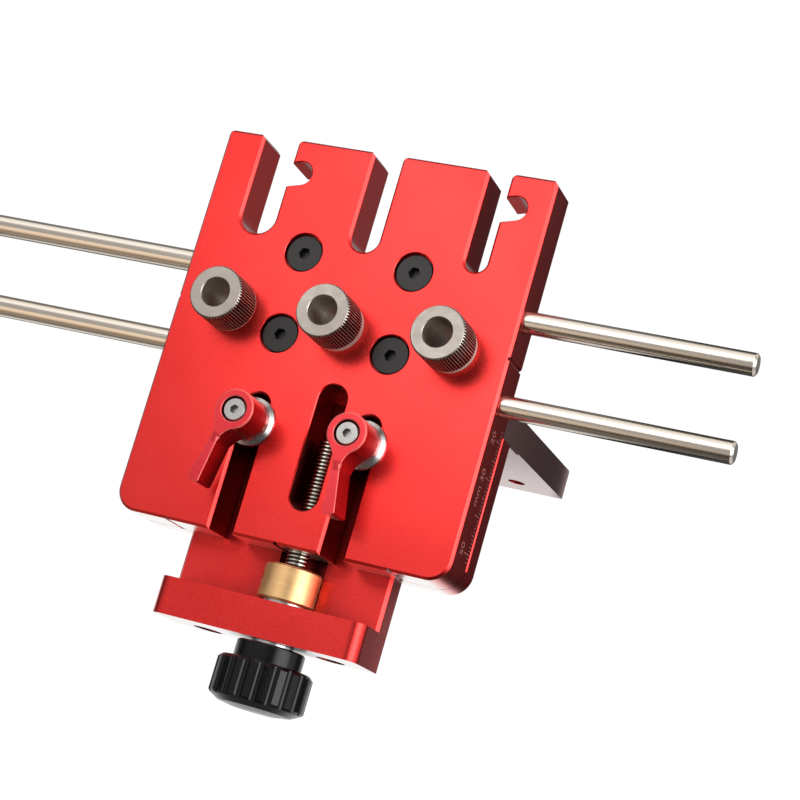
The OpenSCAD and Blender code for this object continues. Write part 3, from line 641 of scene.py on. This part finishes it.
def stage():
    clear_selection()
    bpy.ops.mesh.primitive_plane_add(size=6, location=(0, 0, floor_z - 0.0002))
    floor = active()
    floor.name = "floor"
    m, t = finish("white_paper_floor")
    place = split(t, add(t, "ShaderNodeTexCoord").outputs["Object"])

    def zone(*edges):
        return product(t, *[remap(t, place[axis], low, high) for axis, low, high in edges])
    lit = remap(t, zone(*FRONT), 0, 1, DIM, FRONT_LIT)
    side = remap(t, zone(RIGHT_RISE), 0, 1, RIGHT_DIM, RIGHT_LIT)
    side = mixed(t, zone(RIGHT_OPEN), side, OPEN_LIT)
    lit = mixed(t, zone(RIGHT), lit, side)
    lit = mixed(t, zone(*UNDER_PLATE), lit, UNDER_LIT)
    ray = add(t, "ShaderNodeLightPath").outputs
    # the floor glows in reflections, with painted light and painted shade by zone
    white = add(t, "ShaderNodeEmission", {
        "Color": (1, 1, 1, 1), "Strength": mixed(t, ray["Is Glossy Ray"], PAPER, lit)})
    paper = add(t, "ShaderNodeBsdfDiffuse", {"Color": tint("#F4F4F4")})
    own = maths(t, "MULTIPLY", ray["Is Camera Ray"], OWN_LIGHT)
    share = maths(t, "MAXIMUM", own, ray["Is Glossy Ray"])
    both = add(t, "ShaderNodeMixShader", {0: share, 1: paper.outputs[0], 2: white.outputs[0]})
    shaded(t, both.outputs[0])
    floor.data.materials.append(m)


GREY_WALLS = (0.06, 0.06, 0.06)
# soft lights: direction, angle of the full core and of the edge, brightness, colour
LIGHTS = (
    ((-0.4, 0.15, 0.9), 20, 60, 0.5, "#FFFFFF"),
    ((-0.35, 0.84, 0.42), 12, 38, 1.25, "#FFFFFF"),
    ((-0.53, -0.5, 0.69), 6, 24, 0.95, "#FFE2C0"),
    ((-0.5, -0.85, 0.2), 6, 20, 0.4, "#FFE8D0"),
    ((0.92, 0.1, 0.36), 8, 34, 4.5, "#FFFFFF"),
    ((0.55, 0.75, 0.35), 10, 40, 0.7, "#FFFFFF"),
)


def world_light():
    """A plain studio: grey walls with soft lights, white to the camera itself."""
    w = bpy.data.worlds.new("studio")
    bpy.context.scene.world = w
    w.use_nodes = True
    t = w.node_tree
    t.nodes.clear()
    way = add(t, "ShaderNodeTexCoord").outputs["Generated"]
    total = GREY_WALLS
    for toward, inner, outer, level, tone in LIGHTS:
        near = add(t, "ShaderNodeVectorMath", {0: way, 1: Vector(toward).normalized()},
                   operation="DOT_PRODUCT").outputs["Value"]
        share = add(t, "ShaderNodeMapRange", {
            "Value": near, "From Min": math.cos(math.radians(outer)),
            "From Max": math.cos(math.radians(inner)), "To Min": 0.0, "To Max": level},
            interpolation_type="SMOOTHSTEP").outputs[0]
        lobe = add(t, "ShaderNodeVectorMath", {0: tint(tone)[:3], 3: share}, operation="SCALE")
        total = add(t, "ShaderNodeVectorMath", {0: lobe.outputs[0], 1: total},
                    operation="ADD").outputs[0]
    ray = add(t, "ShaderNodeLightPath").outputs
    level = dyed(t, ray["Is Camera Ray"], total, (1, 1, 1, 1))
    back = add(t, "ShaderNodeBackground", {"Color": level, "Strength": 1.0})
    add(t, "ShaderNodeOutputWorld", {"Surface": back.outputs[0]})


def soft_box(name, place, target, size, power):
    light = bpy.data.lights.new(name, "AREA")
    light.shape = "RECTANGLE"
    light.size, light.size_y = size
    light.energy = power
    lamp = bpy.data.objects.new(name, light)
    bpy.context.scene.collection.objects.link(lamp)
    lamp.location = place
    lamp.rotation_euler = (Vector(target) - Vector(place)).to_track_quat("-Z", "Y").to_euler()


stage()
world_light()
soft_box("overhead_soft_box", (-0.135, 0.26, 0.5), (-0.135, 0.26, 0), (0.27, 0.4), 0.74)

camera = bpy.data.objects.new("camera", bpy.data.cameras.new("camera"))
bpy.context.scene.collection.objects.link(camera)
camera.data.sensor_width = 36
camera.data.lens = 92.694
camera.data.shift_x = -0.02011
camera.data.shift_y = 0.08258
camera.data.clip_start = 0.01
camera.location = (0.21553, -0.12441, 0.48109)
camera.rotation_euler = [math.radians(a) for a in (15.58904, 17.31994, 16.51667)]
bpy.context.scene.camera = camera
bpy.context.scene.view_settings.view_transform = "Standard"
